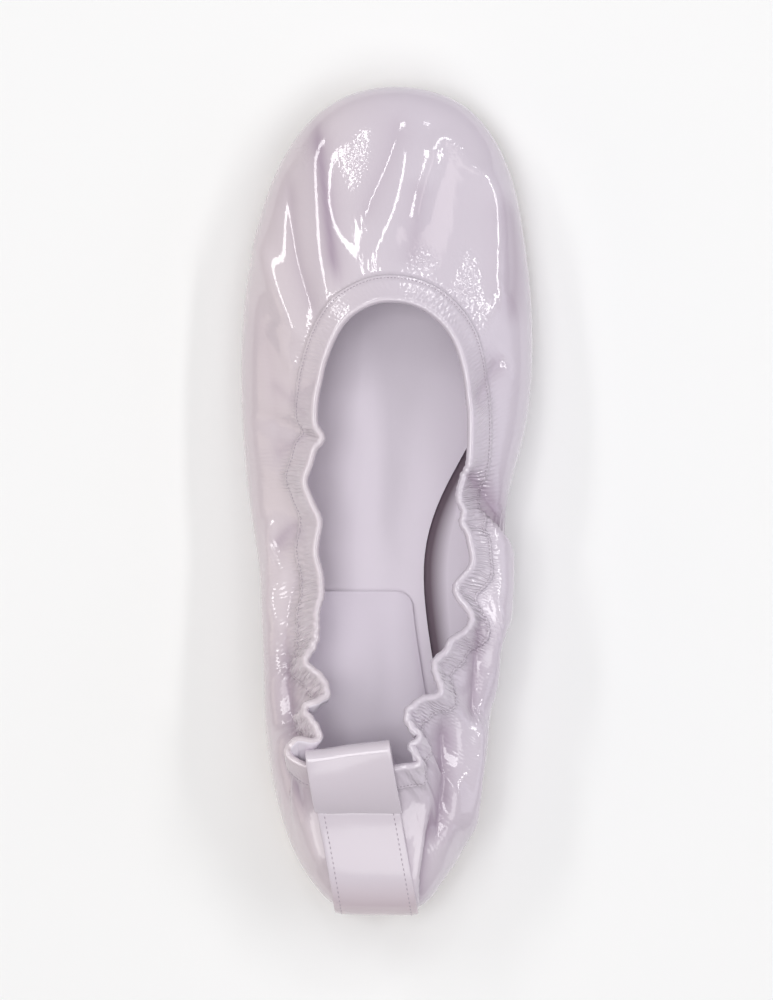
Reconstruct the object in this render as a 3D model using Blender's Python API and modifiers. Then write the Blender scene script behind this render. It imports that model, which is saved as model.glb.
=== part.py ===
"""Ballet flat for the left foot: one soft gathered upper on a thin sole with a low heel.

The toe points along +Y, the inner side of the foot is +X, and the sole stands on Z = 0.
"""
import math

import bpy
import bmesh
import numpy as np

# Driving sizes, in metres
LENGTH = 0.248
BALL_WIDTH = 0.0874
WAIST_WIDTH = 0.0700
HEEL_WIDTH = 0.0626
VAMP_LENGTH = 0.0654
COLLAR_LENGTH = 0.1366
COLLAR_WIDTH = 0.0467
THROAT_HEIGHT = 0.038
SIDE_HEIGHT = 0.037
BACK_HEIGHT = 0.047
WALL = 0.0016
MARGIN = 0.009
FEATHER_ROUND = 0.002
CASING_WIDTH = 0.008
CASING_RAISE = 0.0009
OUTSOLE_THICK = 0.003
HEEL_LIFT = 0.007
HEEL_BREAST = -0.060
BALL_FLAT_BACK = 0.014
BALL_FLAT_FRONT = 0.062
TOE_SPRING = 0.005
SOLE_WELT = 0.0006
INSOLE_THICK = 0.002
PAD_THICK = 0.0012
PAD_FRONT = -0.0275
PAD_OUTER_MARGIN = 0.0015
PAD_INNER_MARGIN = 0.0055
PAD_CORNER = 0.005
STRIP_WIDTH = 0.0245
STRIP_THICK = 0.0012
LOOP_WIDTH = 0.0257
LOOP_THICK = 0.0015
LOOP_OUTSIDE = 0.0155
LOOP_INSIDE = 0.012
LOOP_RISE = 0.005
LOOP_SLACK = 0.0012
STRAP_CLEARANCE = 0.0005
GAP = 0.0003
EDGE_CLEARANCE = 0.0008

# How full the wall's curves are: shares of each curve's width and height that its tangents reach
FOOT_FULLNESS = 0.4
BELLY_FULLNESS = 0.55
SIDE_FULLNESS = 0.6
COLLAR_FULLNESS = 0.45

# How far round the back of the heel the strip's surface is worked out, in turns
BACK_SPREAD = 0.09

# How finely the shapes are stepped
TURN_STEP = 0.002
BACK_STEPS = 61
GATHERED_STEPS = 4
VAMP_STEPS = 2
VAMP_FIRST = 10
VAMP_LAST = 20
WALL_ROWS = 8
CURVE_STEPS = 48
SOLE_ROWS = 30
SOLE_COLUMNS = 4
PAD_ROWS = 24
STRIP_ROWS = 10
STRIP_COLUMNS = 9

# One row for each section of the upper, from the back of the heel along the outer side to the toe
# and home along the inner side. Each x is a share of the width named in the row, and each y of LENGTH;
# the collar's x is a share of COLLAR_WIDTH, and its place a share of COLLAR_LENGTH behind the throat.
# The belly is the height of the widest line, a share of SIDE_HEIGHT, and the lean is the slope of the
# wall where it meets the collar, in degrees.
# width of, side x, side y, sole x, sole y, collar x, collar place, belly, lean
SECTIONS = (
    (HEEL_WIDTH, -0.046, -0.493, -0.046, -0.484, -0.228, 1.000, 0.36, 38),
    (HEEL_WIDTH, -0.220, -0.490, -0.200, -0.479, -0.405, 1.003, 0.35, 40),
    (HEEL_WIDTH, -0.345, -0.463, -0.325, -0.455, -0.585, 0.985, 0.34, 46),
    (HEEL_WIDTH, -0.465, -0.409, -0.440, -0.405, -0.585, 0.935, 0.33, 56),
    (HEEL_WIDTH, -0.548, -0.330, -0.495, -0.330, -0.490, 0.890, 0.33, 48),
    (WAIST_WIDTH, -0.519, -0.249, -0.450, -0.246, -0.445, 0.805, 0.36, 50),
    (WAIST_WIDTH, -0.519, -0.167, -0.443, -0.165, -0.435, 0.704, 0.38, 50),
    (WAIST_WIDTH, -0.541, -0.086, -0.457, -0.085, -0.450, 0.590, 0.38, 50),
    (BALL_WIDTH, -0.469, -0.004, -0.404, -0.004, -0.471, 0.466, 0.36, 50),
    (BALL_WIDTH, -0.492, 0.077, -0.440, 0.077, -0.478, 0.341, 0.33, 47),
    (BALL_WIDTH, -0.500, 0.157, -0.461, 0.157, -0.450, 0.224, 0.30, 42),
    (BALL_WIDTH, -0.487, 0.240, -0.455, 0.236, -0.379, 0.122, 0.28, 36),
    (BALL_WIDTH, -0.450, 0.321, -0.423, 0.316, -0.270, 0.048, 0.26, 28),
    (BALL_WIDTH, -0.372, 0.402, -0.350, 0.394, -0.150, 0.015, 0.25, 24),
    (BALL_WIDTH, -0.212, 0.474, -0.198, 0.463, -0.051, 0.002, 0.24, 22),
    (BALL_WIDTH, 0.033, 0.500, 0.033, 0.4887, 0.039, 0.000, 0.24, 21),
    (BALL_WIDTH, 0.277, 0.474, 0.262, 0.463, 0.131, 0.004, 0.24, 22),
    (BALL_WIDTH, 0.418, 0.402, 0.394, 0.394, 0.236, 0.018, 0.25, 24),
    (BALL_WIDTH, 0.471, 0.321, 0.443, 0.316, 0.347, 0.048, 0.27, 29),
    (BALL_WIDTH, 0.497, 0.240, 0.458, 0.236, 0.445, 0.100, 0.30, 37),
    (BALL_WIDTH, 0.499, 0.157, 0.429, 0.157, 0.512, 0.195, 0.34, 42),
    (BALL_WIDTH, 0.470, 0.077, 0.349, 0.077, 0.522, 0.305, 0.40, 45),
    (BALL_WIDTH, 0.413, -0.004, 0.240, 0.004, 0.512, 0.414, 0.50, 46),
    (WAIST_WIDTH, 0.503, -0.085, 0.221, -0.073, 0.514, 0.535, 0.56, 46),
    (WAIST_WIDTH, 0.484, -0.167, 0.240, -0.161, 0.493, 0.671, 0.54, 46),
    (WAIST_WIDTH, 0.447, -0.249, 0.285, -0.242, 0.375, 0.795, 0.46, 48),
    (HEEL_WIDTH, 0.455, -0.330, 0.355, -0.327, 0.246, 0.890, 0.38, 47),
    (HEEL_WIDTH, 0.372, -0.405, 0.325, -0.398, 0.185, 0.955, 0.35, 42),
    (HEEL_WIDTH, 0.250, -0.466, 0.225, -0.456, 0.120, 0.995, 0.35, 44),
    (HEEL_WIDTH, 0.135, -0.491, 0.120, -0.479, 0.000, 1.003, 0.35, 40),
)

# The larger folds of the collar: where each lies, counted in rows of SECTIONS, how far it pushes into
# the opening as a share of CASING_WIDTH, and its half length in rows
# section, push, half length
FOLDS = (
    (3.47, 0.60, 0.34),
    (4.10, -0.30, 0.30),
    (4.66, 0.52, 0.32),
    (5.30, -0.42, 0.30),
    (6.95, 0.22, 0.32),
    (7.80, 0.20, 0.36),
    (9.40, 0.12, 0.50),
    (22.10, 0.35, 0.40),
    (23.27, -0.20, 0.28),
    (23.63, 0.55, 0.30),
    (24.07, -0.36, 0.28),
    (24.96, 0.55, 0.32),
    (25.40, -0.25, 0.28),
    (26.10, 0.70, 0.42),
    (27.60, -0.35, 0.36),
)


def closed_curve(rows):
    """Smooth closed curve through the rows; it takes turns, where 1 is once round."""
    points = np.array(rows, float)
    count = len(points)
    shift = np.roll(np.eye(count), 1, axis=1)
    ahead = np.roll(points, -1, axis=0)
    slopes = np.linalg.solve(4 * np.eye(count) + shift + shift.T, 3 * (ahead - np.roll(points, 1, axis=0)))

    def at(turns):
        place = np.mod(np.asarray(turns, float), 1.0) * count
        first = np.floor(place).astype(int) % count
        after = (first + 1) % count
        part = (place - np.floor(place))[:, None]
        rest = 1 - part
        held = rest * rest * (1 + 2 * part) * points[first] + part * part * (1 + 2 * rest) * points[after]
        return held + part * rest * (rest * slopes[first] - part * slopes[after])

    return at


def smooth_step(value, start, end):
    """0 before start, 1 after end, and an even curve between them."""
    share = np.clip((value - start) / (end - start), 0.0, 1.0)
    return share * share * (3 - 2 * share)


def section_sizes(row):
    """One row of SECTIONS in metres."""
    width, side_x, side_y, sole_x, sole_y, collar_x, place, belly, lean = row
    return (side_x * width, side_y * LENGTH, sole_x * width, sole_y * LENGTH,
            collar_x * COLLAR_WIDTH, place * COLLAR_LENGTH, belly * SIDE_HEIGHT, math.radians(lean))


SECTION_AT = closed_curve([section_sizes(row) for row in SECTIONS])
THROAT = LENGTH / 2 - VAMP_LENGTH
TOE_TURN = max(range(len(SECTIONS)), key=lambda row: SECTIONS[row][2]) / len(SECTIONS)


def sole_bottom(y):
    """Height of the outsole's underside: heel seat, arch, flat tread and toe spring."""
    seat = HEEL_LIFT * (1 - smooth_step(y, HEEL_BREAST, BALL_FLAT_BACK))
    front = np.clip((y - BALL_FLAT_FRONT) / (LENGTH / 2 - BALL_FLAT_FRONT), 0.0, None)
    return seat + TOE_SPRING * front * front


def upper_base(y):
    """Height that the upper's turned-in margin lies at, on the outsole."""
    return sole_bottom(y) + OUTSOLE_THICK + GAP


def collar_height(behind):
    """Height of the collar's edge, from the throat back to the heel."""
    share = behind / COLLAR_LENGTH
    front = THROAT_HEIGHT + (SIDE_HEIGHT - THROAT_HEIGHT) * smooth_step(share, 0.0, 0.4)
    return front + (BACK_HEIGHT - SIDE_HEIGHT) * smooth_step(share, 0.55, 1.0)


def fold_push(turns):
    """How far the folds push the collar's edge into the opening."""
    count = len(SECTIONS)
    push = np.zeros(len(turns))
    for section, depth, half in FOLDS:
        apart = np.mod(turns * count - section + count / 2, count) - count / 2
        push += depth * CASING_WIDTH * np.exp(-(apart / half) ** 2)
    return push


def bezier(first, leave, arrive, last, shares):
    """Points of one cubic curve for each station."""
    t = shares[None, :, None]
    r = 1 - t
    return (r ** 3 * first[:, None] + 3 * r * r * t * leave[:, None]
            + 3 * r * t * t * arrive[:, None] + t ** 3 * last[:, None])


def plan_inward(points_ahead, points_behind):
    """Unit directions in plan, pointing into the shoe from a curve that runs clockwise."""
    along = points_ahead - points_behind
    along /= np.linalg.norm(along, axis=1, keepdims=True)
    return np.stack([along[:, 1], -along[:, 0], np.zeros(len(along))], axis=1)


def wall_curves(turns):
    """The outer surface for each turn: the margin's inner end, its round, and the curve to the collar."""
    turns = np.asarray(turns, float)
    at = SECTION_AT(turns)
    before = SECTION_AT(turns - TURN_STEP)
    after = SECTION_AT(turns + TURN_STEP)
    flat = np.zeros(len(turns))
    sole = np.stack([at[:, 2], at[:, 3], upper_base(at[:, 3])], axis=1)
    inward = plan_inward(np.stack([after[:, 2], after[:, 3], flat], axis=1),
                         np.stack([before[:, 2], before[:, 3], flat], axis=1))
    side = np.stack([at[:, 0], at[:, 1], sole[:, 2] + at[:, 6]], axis=1)
    behind = at[:, 5]
    collar = np.stack([at[:, 4], THROAT - behind, collar_height(behind)], axis=1)
    across = plan_inward(np.stack([after[:, 4], -after[:, 5], flat], axis=1),
                         np.stack([before[:, 4], -before[:, 5], flat], axis=1))
    collar += across * fold_push(turns)[:, None]

    up = np.array([0.0, 0.0, 1.0])
    lean = at[:, 7][:, None]
    foot = sole + inward * FEATHER_ROUND
    margin = sole + inward * MARGIN
    for laid in (foot, margin):
        laid[:, 2] = upper_base(laid[:, 1])
    out = side - sole
    out[:, 2] = 0
    belly = (side[:, 2] - sole[:, 2])[:, None]
    shares = np.linspace(0, 1, CURVE_STEPS)
    lower = bezier(foot, sole + out * FOOT_FULLNESS, side - up * belly * BELLY_FULLNESS, side, shares)

    rise = (collar[:, 2] - side[:, 2])[:, None]
    over = collar - side
    over[:, 2] = 0
    reach = np.linalg.norm(over, axis=1, keepdims=True)
    heading = over / reach * np.cos(lean) + up * np.sin(lean)
    pull = COLLAR_FULLNESS * np.hypot(reach, rise)
    upper = bezier(side, side + up * rise * SIDE_FULLNESS, collar - heading * pull, collar, shares)
    return margin, lower, upper


def along_curves(curves, distances):
    """Points at the given distances down each curve from its last point."""
    found = np.empty((len(curves), distances.shape[1], 3))
    for index, curve in enumerate(curves):
        back = curve[::-1]
        walked = np.concatenate([[0.0], np.cumsum(np.linalg.norm(np.diff(back, axis=0), axis=1))])
        for axis in range(3):
            found[index, :, axis] = np.interp(distances[index], walked, back[:, axis])
    return found


def curve_lengths(curves):
    """Length of each curve."""
    return np.linalg.norm(np.diff(curves, axis=1), axis=2).sum(axis=1)


def outward(grid, closed):
    """Unit normals of a grid of stations by rows, pointing away from the foot."""
    if closed:
        along = np.roll(grid, -1, axis=0) - np.roll(grid, 1, axis=0)
    else:
        along = np.gradient(grid, axis=0)
    normals = np.cross(np.gradient(grid, axis=1), along)
    return normals / np.linalg.norm(normals, axis=2, keepdims=True)


def casing_raise(below):
    """How far the folded casing stands out of the wall at a distance below the collar's edge."""
    step = 1 - smooth_step(below, CASING_WIDTH, CASING_WIDTH + CASING_RAISE)
    rolled = smooth_step(below, -CASING_RAISE, CASING_RAISE)
    return CASING_RAISE * step * rolled


def make_material(name, colour, roughness):
    """A Principled material with the colour as linear red, green and blue."""
    material = bpy.data.materials.new(name)
    material.use_nodes = True
    shader = material.node_tree.nodes["Principled BSDF"]
    shader.inputs["Base Color"].default_value = (*colour, 1.0)
    shader.inputs["Roughness"].default_value = roughness
    shader.inputs["Metallic"].default_value = 0.0
    material.diffuse_color = (*colour, 1.0)
    return material


def sheet_object(name, grid, closed, material):
    """A grid primitive laid over the points, as an open sheet, or a ring where it is closed.

    Its faces point to the side that the first index, crossed with the second, gives.
    """
    stations, rows = grid.shape[:2]
    columns = stations if closed else stations - 1
    sheet = bmesh.new()
    bmesh.ops.create_grid(sheet, x_segments=columns, y_segments=rows - 1, size=1)
    for vertex in sheet.verts:
        column = round((vertex.co.x + 1) / 2 * columns) % stations
        row = round((vertex.co.y + 1) / 2 * (rows - 1))
        vertex.co = grid[column, row]
    if closed:
        bmesh.ops.remove_doubles(sheet, verts=sheet.verts, dist=1e-7)
    mesh = bpy.data.meshes.new(name)
    sheet.to_mesh(mesh)
    sheet.free()
    mesh.shade_smooth()
    mesh.materials.append(material)
    made = bpy.data.objects.new(name, mesh)
    bpy.data.collections["ballet_flat"].objects.link(made)
    return made


def add_solidify(made, thickness, offset):
    """Give an open sheet its real thickness."""
    solid = made.modifiers.new("thickness", "SOLIDIFY")
    solid.thickness = thickness
    solid.offset = offset
    solid.use_even_offset = True
    return solid


def add_bevel(made, width, segments):
    """Round the sharp rims of a sheet."""
    bevel = made.modifiers.new("rims", "BEVEL")
    bevel.width = width
    bevel.segments = segments
    bevel.limit_method = "ANGLE"
    bevel.angle_limit = math.radians(55)


def sole_outline(turns, inset):
    """Points of the sole's outline in plan, moved inwards by inset."""
    points = SECTION_AT(turns)[:, 2:4]
    ahead = SECTION_AT(turns + TURN_STEP)[:, 2:4]
    behind = SECTION_AT(turns - TURN_STEP)[:, 2:4]
    along = ahead - behind
    along /= np.linalg.norm(along, axis=1, keepdims=True)
    return points + inset * np.stack([along[:, 1], -along[:, 0]], axis=1)


def rows_across(outer_edge, inner_edge, columns):
    """Rows of points in plan, from the outer side's edge to the inner side's."""
    shares = np.linspace(0, 1, columns + 1)[None, :, None]
    return outer_edge[:, None] * (1 - shares) + inner_edge[:, None] * shares


def plan_rows(outer_inset, inner_inset, first_share, last_share, rows):
    """Rows across the sole from heel to toe, closer together where its ends are round."""
    even = np.linspace(math.acos(1 - 2 * first_share), math.acos(1 - 2 * last_share), rows)
    shares = (1 - np.cos(even)) / 2
    outer_edge = sole_outline(shares * TOE_TURN, outer_inset)
    inner_edge = sole_outline(1 - shares * (1 - TOE_TURN), inner_inset)
    return rows_across(outer_edge, inner_edge, SOLE_COLUMNS)


def lay_rows(plan, height):
    """Plan rows at the height that a function gives for each y."""
    return np.concatenate([plan, height(plan[:, :, 1])[:, :, None]], axis=2)


def build_outsole(material):
    """Thin outsole that stands a little proud of the upper's feather line."""
    plan = plan_rows(-SOLE_WELT, -SOLE_WELT, 0.02, 0.98, SOLE_ROWS)
    grid = lay_rows(plan, lambda y: sole_bottom(y) + OUTSOLE_THICK)
    outsole = sheet_object("outsole", grid.transpose(1, 0, 2), False, material)
    add_solidify(outsole, OUTSOLE_THICK, -1)
    add_bevel(outsole, OUTSOLE_THICK * 0.25, 1)


def build_heel(material):
    """Low heel block under the seat, cut square at its breast."""
    plan = plan_rows(-SOLE_WELT, -SOLE_WELT, 0.02, 0.98, SOLE_ROWS)
    seat = plan[plan[:, :, 1].max(axis=1) < HEEL_BREAST]
    breast = seat[-1].copy()
    breast[:, 1] = HEEL_BREAST - 2 * GAP
    seat[-1] = breast
    grid = lay_rows(seat, lambda y: np.full_like(y, HEEL_LIFT - GAP))
    heel = sheet_object("heel", grid.transpose(1, 0, 2), False, material)
    add_solidify(heel, HEEL_LIFT - GAP, -1)
    add_bevel(heel, OUTSOLE_THICK * 0.25, 1)


def insole_top(y):
    """Height of the insole's upper face."""
    return upper_base(y) + WALL + GAP + INSOLE_THICK


def build_insole(material):
    """Insole that lies on the upper's margin, inside its wall."""
    inset = WALL + EDGE_CLEARANCE
    plan = plan_rows(inset, inset, 0.02, 0.98, SOLE_ROWS)
    grid = lay_rows(plan, insole_top)
    insole = sheet_object("insole", grid.transpose(1, 0, 2), False, material)
    add_solidify(insole, INSOLE_THICK, -1)


def build_heel_pad(material):
    """Cushioned pad on the heel of the insole, with round front corners."""
    inset = WALL + EDGE_CLEARANCE
    plan = plan_rows(inset + PAD_OUTER_MARGIN, inset + PAD_INNER_MARGIN, 0.05, 0.60, PAD_ROWS)
    pad = plan[plan[:, :, 1].max(axis=1) < PAD_FRONT - PAD_CORNER]
    left = pad[-1, 0]
    right = pad[-1, -1]
    angles = np.linspace(0, math.pi / 2, 5)[1:]
    for angle in angles:
        y = PAD_FRONT - PAD_CORNER * (1 - math.sin(angle))
        tuck = PAD_CORNER * (1 - math.cos(angle))
        edge = rows_across(np.array([[left[0] + tuck, y]]), np.array([[right[0] - tuck, y]]), SOLE_COLUMNS)
        pad = np.concatenate([pad, edge])
    grid = lay_rows(pad, lambda y: insole_top(y) + GAP + PAD_THICK)
    heel_pad = sheet_object("heel_pad", grid.transpose(1, 0, 2), False, material)
    add_solidify(heel_pad, PAD_THICK, -1)
    add_bevel(heel_pad, PAD_THICK * 0.4, 1)


def station_turns():
    """Turns of the upper's stations: close where the collar is gathered, further apart on the vamp."""
    count = len(SECTIONS)
    back = np.arange(0, VAMP_FIRST, 1 / GATHERED_STEPS)
    vamp = np.arange(VAMP_FIRST, VAMP_LAST, 1 / VAMP_STEPS)
    home = np.arange(VAMP_LAST, count, 1 / GATHERED_STEPS)
    return np.concatenate([back, vamp, home]) / count


def build_upper(material):
    """The whole upper: margin, wall and the folded casing round the collar, as one hollow shell."""
    turns = station_turns()
    margin, lower, upper = wall_curves(turns)
    lower_length = curve_lengths(lower)[:, None]
    upper_length = curve_lengths(upper)[:, None]
    lower_shares = np.array([1.0, 0.86, 0.68, 0.48, 0.25])[None]
    casing_foot = CASING_WIDTH + CASING_RAISE
    wall_shares = np.linspace(1, 0, WALL_ROWS)[None]
    wall_down = casing_foot + (upper_length - casing_foot) * wall_shares
    casing_down = np.ones_like(upper_length) * np.array([CASING_WIDTH, CASING_WIDTH * 0.62,
                                                         CASING_WIDTH * 0.3, CASING_RAISE, 0.0])[None]
    upper_down = np.concatenate([wall_down, casing_down], axis=1)
    grid = np.concatenate([margin[:, None], (margin[:, None] + lower[:, :1]) / 2,
                           along_curves(lower, lower_length * lower_shares),
                           along_curves(upper, upper_down)], axis=1)
    plain_rows = grid.shape[1] - upper_down.shape[1]
    below = np.concatenate([np.full((len(turns), plain_rows), LENGTH), upper_down], axis=1)
    lift = casing_raise(below)
    grid = grid + outward(grid, True) * lift[:, :, None]
    made = sheet_object("upper", grid[::-1], True, material)
    solid = add_solidify(made, WALL + CASING_RAISE, -1)
    solid.use_even_offset = False
    weights = made.vertex_groups.new(name="wall")
    for vertex in made.data.vertices:
        nearest = np.unravel_index(np.argmin(((grid - np.array(vertex.co)) ** 2).sum(axis=2)), lift.shape)
        weights.add([vertex.index], float((WALL + lift[nearest]) / (WALL + CASING_RAISE)), "REPLACE")
    solid.vertex_group = "wall"


def back_patch(width, top, foot_shares, columns):
    """Points across the back of the heel, centred on its seam.

    The rows lie down the wall from the collar: at the distances in top, or where foot_shares is
    given, at those shares of the way from the one distance in top to the foot of the wall.
    """
    spread = np.linspace(-BACK_SPREAD, BACK_SPREAD, BACK_STEPS)
    lower, upper = wall_curves(spread)[1:]
    whole = np.concatenate([lower, upper[:, 1:]], axis=1)
    if foot_shares is None:
        reach = np.tile(top, (len(spread), 1))
    else:
        foot = curve_lengths(whole)[:, None] - 2 * FEATHER_ROUND
        reach = top + (foot - top) * foot_shares[None]
    field = along_curves(whole, reach)
    field = field + outward(field, False) * casing_raise(reach)[:, :, None]
    middle = len(spread) // 2
    across = np.linspace(-width / 2, width / 2, columns)
    patch = np.empty((columns, field.shape[1], 3))
    for row in range(field.shape[1]):
        steps = np.linalg.norm(np.diff(field[:, row], axis=0), axis=1)
        walked = np.concatenate([[0.0], np.cumsum(steps)])
        walked -= walked[middle]
        for axis in range(3):
            patch[:, row, axis] = np.interp(across, walked, field[:, row, axis])
    return patch


def build_heel_strip(material):
    """Flat strip up the back of the heel, from the sole to the foot of the pull loop."""
    patch = back_patch(STRIP_WIDTH, LOOP_OUTSIDE + GAP, np.linspace(1, 0, STRIP_ROWS), STRIP_COLUMNS)
    patch = patch + outward(patch, False) * STRAP_CLEARANCE
    strip = sheet_object("heel_strip", patch[::-1], False, material)
    add_solidify(strip, STRIP_THICK, 1)


def build_pull_loop(material):
    """Folded loop that starts on the back of the heel, passes over the collar and ends inside it."""
    outer = back_patch(LOOP_WIDTH, np.linspace(LOOP_OUTSIDE, 0.0, STRIP_ROWS), None, STRIP_COLUMNS)
    away = outward(outer, False)
    lined = back_patch(LOOP_WIDTH, np.linspace(LOOP_INSIDE, 0.0, 5), None, STRIP_COLUMNS)
    casing = WALL + CASING_RAISE + STRAP_CLEARANCE + LOOP_SLACK
    radius = casing / 2
    outside = outer + away * STRAP_CLEARANCE
    rise = outer[:, -1] - outer[:, -3]
    rise /= np.linalg.norm(rise, axis=1, keepdims=True)
    across = away[:, -1]
    centre = outer[:, -1] + rise * (LOOP_RISE - radius) + across * (STRAP_CLEARANCE - radius)
    turn = [centre + radius * (across * math.cos(angle) + rise * math.sin(angle))
            for angle in np.linspace(0, math.pi, STRIP_COLUMNS)]
    inside = (lined - outward(lined, False) * (casing - STRAP_CLEARANCE))[:, ::-1]
    path = np.concatenate([outside, np.stack(turn, axis=1), inside], axis=1)
    loop = sheet_object("pull_loop", path[::-1], False, material)
    add_solidify(loop, LOOP_THICK, 1)


def main():
    for old in list(bpy.data.objects):
        bpy.data.objects.remove(old)
    collection = bpy.data.collections.new("ballet_flat")
    bpy.context.scene.collection.children.link(collection)
    patent = make_material("lilac_patent_leather", (0.68, 0.60, 0.68), 0.12)
    strap = make_material("lilac_strap_leather", (0.66, 0.58, 0.64), 0.15)
    lining = make_material("lilac_lining", (0.62, 0.56, 0.66), 0.45)
    pad = make_material("lilac_pad_leather", (0.60, 0.53, 0.62), 0.35)
    rubber = make_material("beige_rubber", (0.50, 0.42, 0.36), 0.6)
    build_outsole(rubber)
    build_heel(rubber)
    build_upper(patent)
    build_insole(lining)
    build_heel_pad(pad)
    build_heel_strip(strap)
    build_pull_loop(strap)


main()
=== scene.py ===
# %% [markdown]
# Lilac patent ballet flat
#
# This lesson dresses one soft shoe: a ballet flat of thin patent leather whose collar is
# gathered by elastic. The imported solids give the last, the wall and the sole. What makes the
# real shoe read as patent leather is smaller than that: long creases that catch thin white
# streaks, tight gathers round the collar, and a coat so smooth that it mirrors the lamps.
# Every large crease is therefore geometry, placed in millimetres, and only the fine
# grain is left to the materials.

# %% Load the imported shoe
import math
import random

import bpy
import bmesh
import numpy as np
from mathutils import Matrix, Vector


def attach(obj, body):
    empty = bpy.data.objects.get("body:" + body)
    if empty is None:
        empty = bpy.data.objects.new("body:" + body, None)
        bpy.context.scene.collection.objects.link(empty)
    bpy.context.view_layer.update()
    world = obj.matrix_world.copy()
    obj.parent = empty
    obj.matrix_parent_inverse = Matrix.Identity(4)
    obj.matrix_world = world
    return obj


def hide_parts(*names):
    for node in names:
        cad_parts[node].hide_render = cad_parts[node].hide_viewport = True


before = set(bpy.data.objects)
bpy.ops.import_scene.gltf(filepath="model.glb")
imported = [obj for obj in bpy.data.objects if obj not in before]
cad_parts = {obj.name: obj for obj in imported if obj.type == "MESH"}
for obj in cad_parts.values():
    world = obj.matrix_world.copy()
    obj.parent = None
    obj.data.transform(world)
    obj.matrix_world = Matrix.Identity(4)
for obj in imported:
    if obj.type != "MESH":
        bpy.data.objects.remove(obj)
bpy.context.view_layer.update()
print("solids:", ", ".join(sorted(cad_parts)))

# %% [markdown]
# The last
#
# A shoe is built over a last, and its upper has no flat or round face that could be named.
# The same tables that shape the solids are repeated here, so that the fine surface follows
# the solid wall: each row is one section of the wall, read round the shoe from the heel,
# along the outer side to the toe and home along the inner side.

# %% Sizes of the shoe
LENGTH = 0.248
BALL_WIDTH = 0.0874
WAIST_WIDTH = 0.0700
HEEL_WIDTH = 0.0626
VAMP_LENGTH = 0.0654
COLLAR_LENGTH = 0.1366
COLLAR_WIDTH = 0.0467
THROAT_HEIGHT = 0.038
SIDE_HEIGHT = 0.037
BACK_HEIGHT = 0.047
WALL = 0.0016
MARGIN = 0.009
FEATHER_ROUND = 0.002
CASING_WIDTH = 0.008
CASING_RAISE = 0.0009
OUTSOLE_THICK = 0.003
HEEL_LIFT = 0.007
HEEL_BREAST = -0.060
BALL_FLAT_BACK = 0.014
BALL_FLAT_FRONT = 0.062
TOE_SPRING = 0.005
SOLE_WELT = 0.0006
INSOLE_THICK = 0.002
PAD_THICK = 0.0012
GAP = 0.0003
EDGE_CLEARANCE = 0.0008
MM = 0.001
THROAT = LENGTH / 2 - VAMP_LENGTH


def in_mm(length):
    """A length as words."""
    return f"{length / MM:.1f} mm"


print("shoe length", in_mm(LENGTH), "and throat at", in_mm(THROAT))

# %% Sections of the last
# side x, side y, sole x, sole y, collar x, collar place, belly, and lean in degrees
SECTIONS = (
    (-0.046, -0.493, -0.046, -0.484, -0.228, 1.000, 0.36, 38),
    (-0.220, -0.490, -0.200, -0.479, -0.405, 1.003, 0.35, 40),
    (-0.345, -0.463, -0.325, -0.455, -0.585, 0.985, 0.34, 46),
    (-0.465, -0.409, -0.440, -0.405, -0.585, 0.935, 0.33, 56),
    (-0.548, -0.330, -0.495, -0.330, -0.490, 0.890, 0.33, 48),
    (-0.519, -0.249, -0.450, -0.246, -0.445, 0.805, 0.36, 50),
    (-0.519, -0.167, -0.443, -0.165, -0.435, 0.704, 0.38, 50),
    (-0.541, -0.086, -0.457, -0.085, -0.450, 0.590, 0.38, 50),
    (-0.469, -0.004, -0.404, -0.004, -0.471, 0.466, 0.36, 50),
    (-0.492, 0.077, -0.440, 0.077, -0.478, 0.341, 0.33, 47),
    (-0.500, 0.157, -0.461, 0.157, -0.450, 0.224, 0.30, 42),
    (-0.487, 0.240, -0.455, 0.236, -0.379, 0.122, 0.28, 36),
    (-0.450, 0.321, -0.423, 0.316, -0.270, 0.048, 0.26, 28),
    (-0.372, 0.402, -0.350, 0.394, -0.150, 0.015, 0.25, 24),
    (-0.212, 0.474, -0.198, 0.463, -0.051, 0.002, 0.24, 22),
    (0.033, 0.500, 0.033, 0.4887, 0.039, 0.000, 0.24, 21),
    (0.277, 0.474, 0.262, 0.463, 0.131, 0.004, 0.24, 22),
    (0.418, 0.402, 0.394, 0.394, 0.236, 0.018, 0.25, 24),
    (0.471, 0.321, 0.443, 0.316, 0.347, 0.048, 0.27, 29),
    (0.497, 0.240, 0.458, 0.236, 0.445, 0.100, 0.30, 37),
    (0.499, 0.157, 0.429, 0.157, 0.512, 0.195, 0.34, 42),
    (0.470, 0.077, 0.349, 0.077, 0.522, 0.305, 0.40, 45),
    (0.413, -0.004, 0.240, 0.004, 0.512, 0.414, 0.50, 46),
    (0.503, -0.085, 0.221, -0.073, 0.514, 0.535, 0.56, 46),
    (0.484, -0.167, 0.240, -0.161, 0.493, 0.671, 0.54, 46),
    (0.447, -0.249, 0.285, -0.242, 0.375, 0.795, 0.46, 48),
    (0.455, -0.330, 0.355, -0.327, 0.246, 0.890, 0.38, 47),
    (0.372, -0.405, 0.325, -0.398, 0.185, 0.955, 0.35, 42),
    (0.250, -0.466, 0.225, -0.456, 0.120, 0.995, 0.35, 44),
    (0.135, -0.491, 0.120, -0.479, 0.000, 1.003, 0.35, 40),
)

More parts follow.
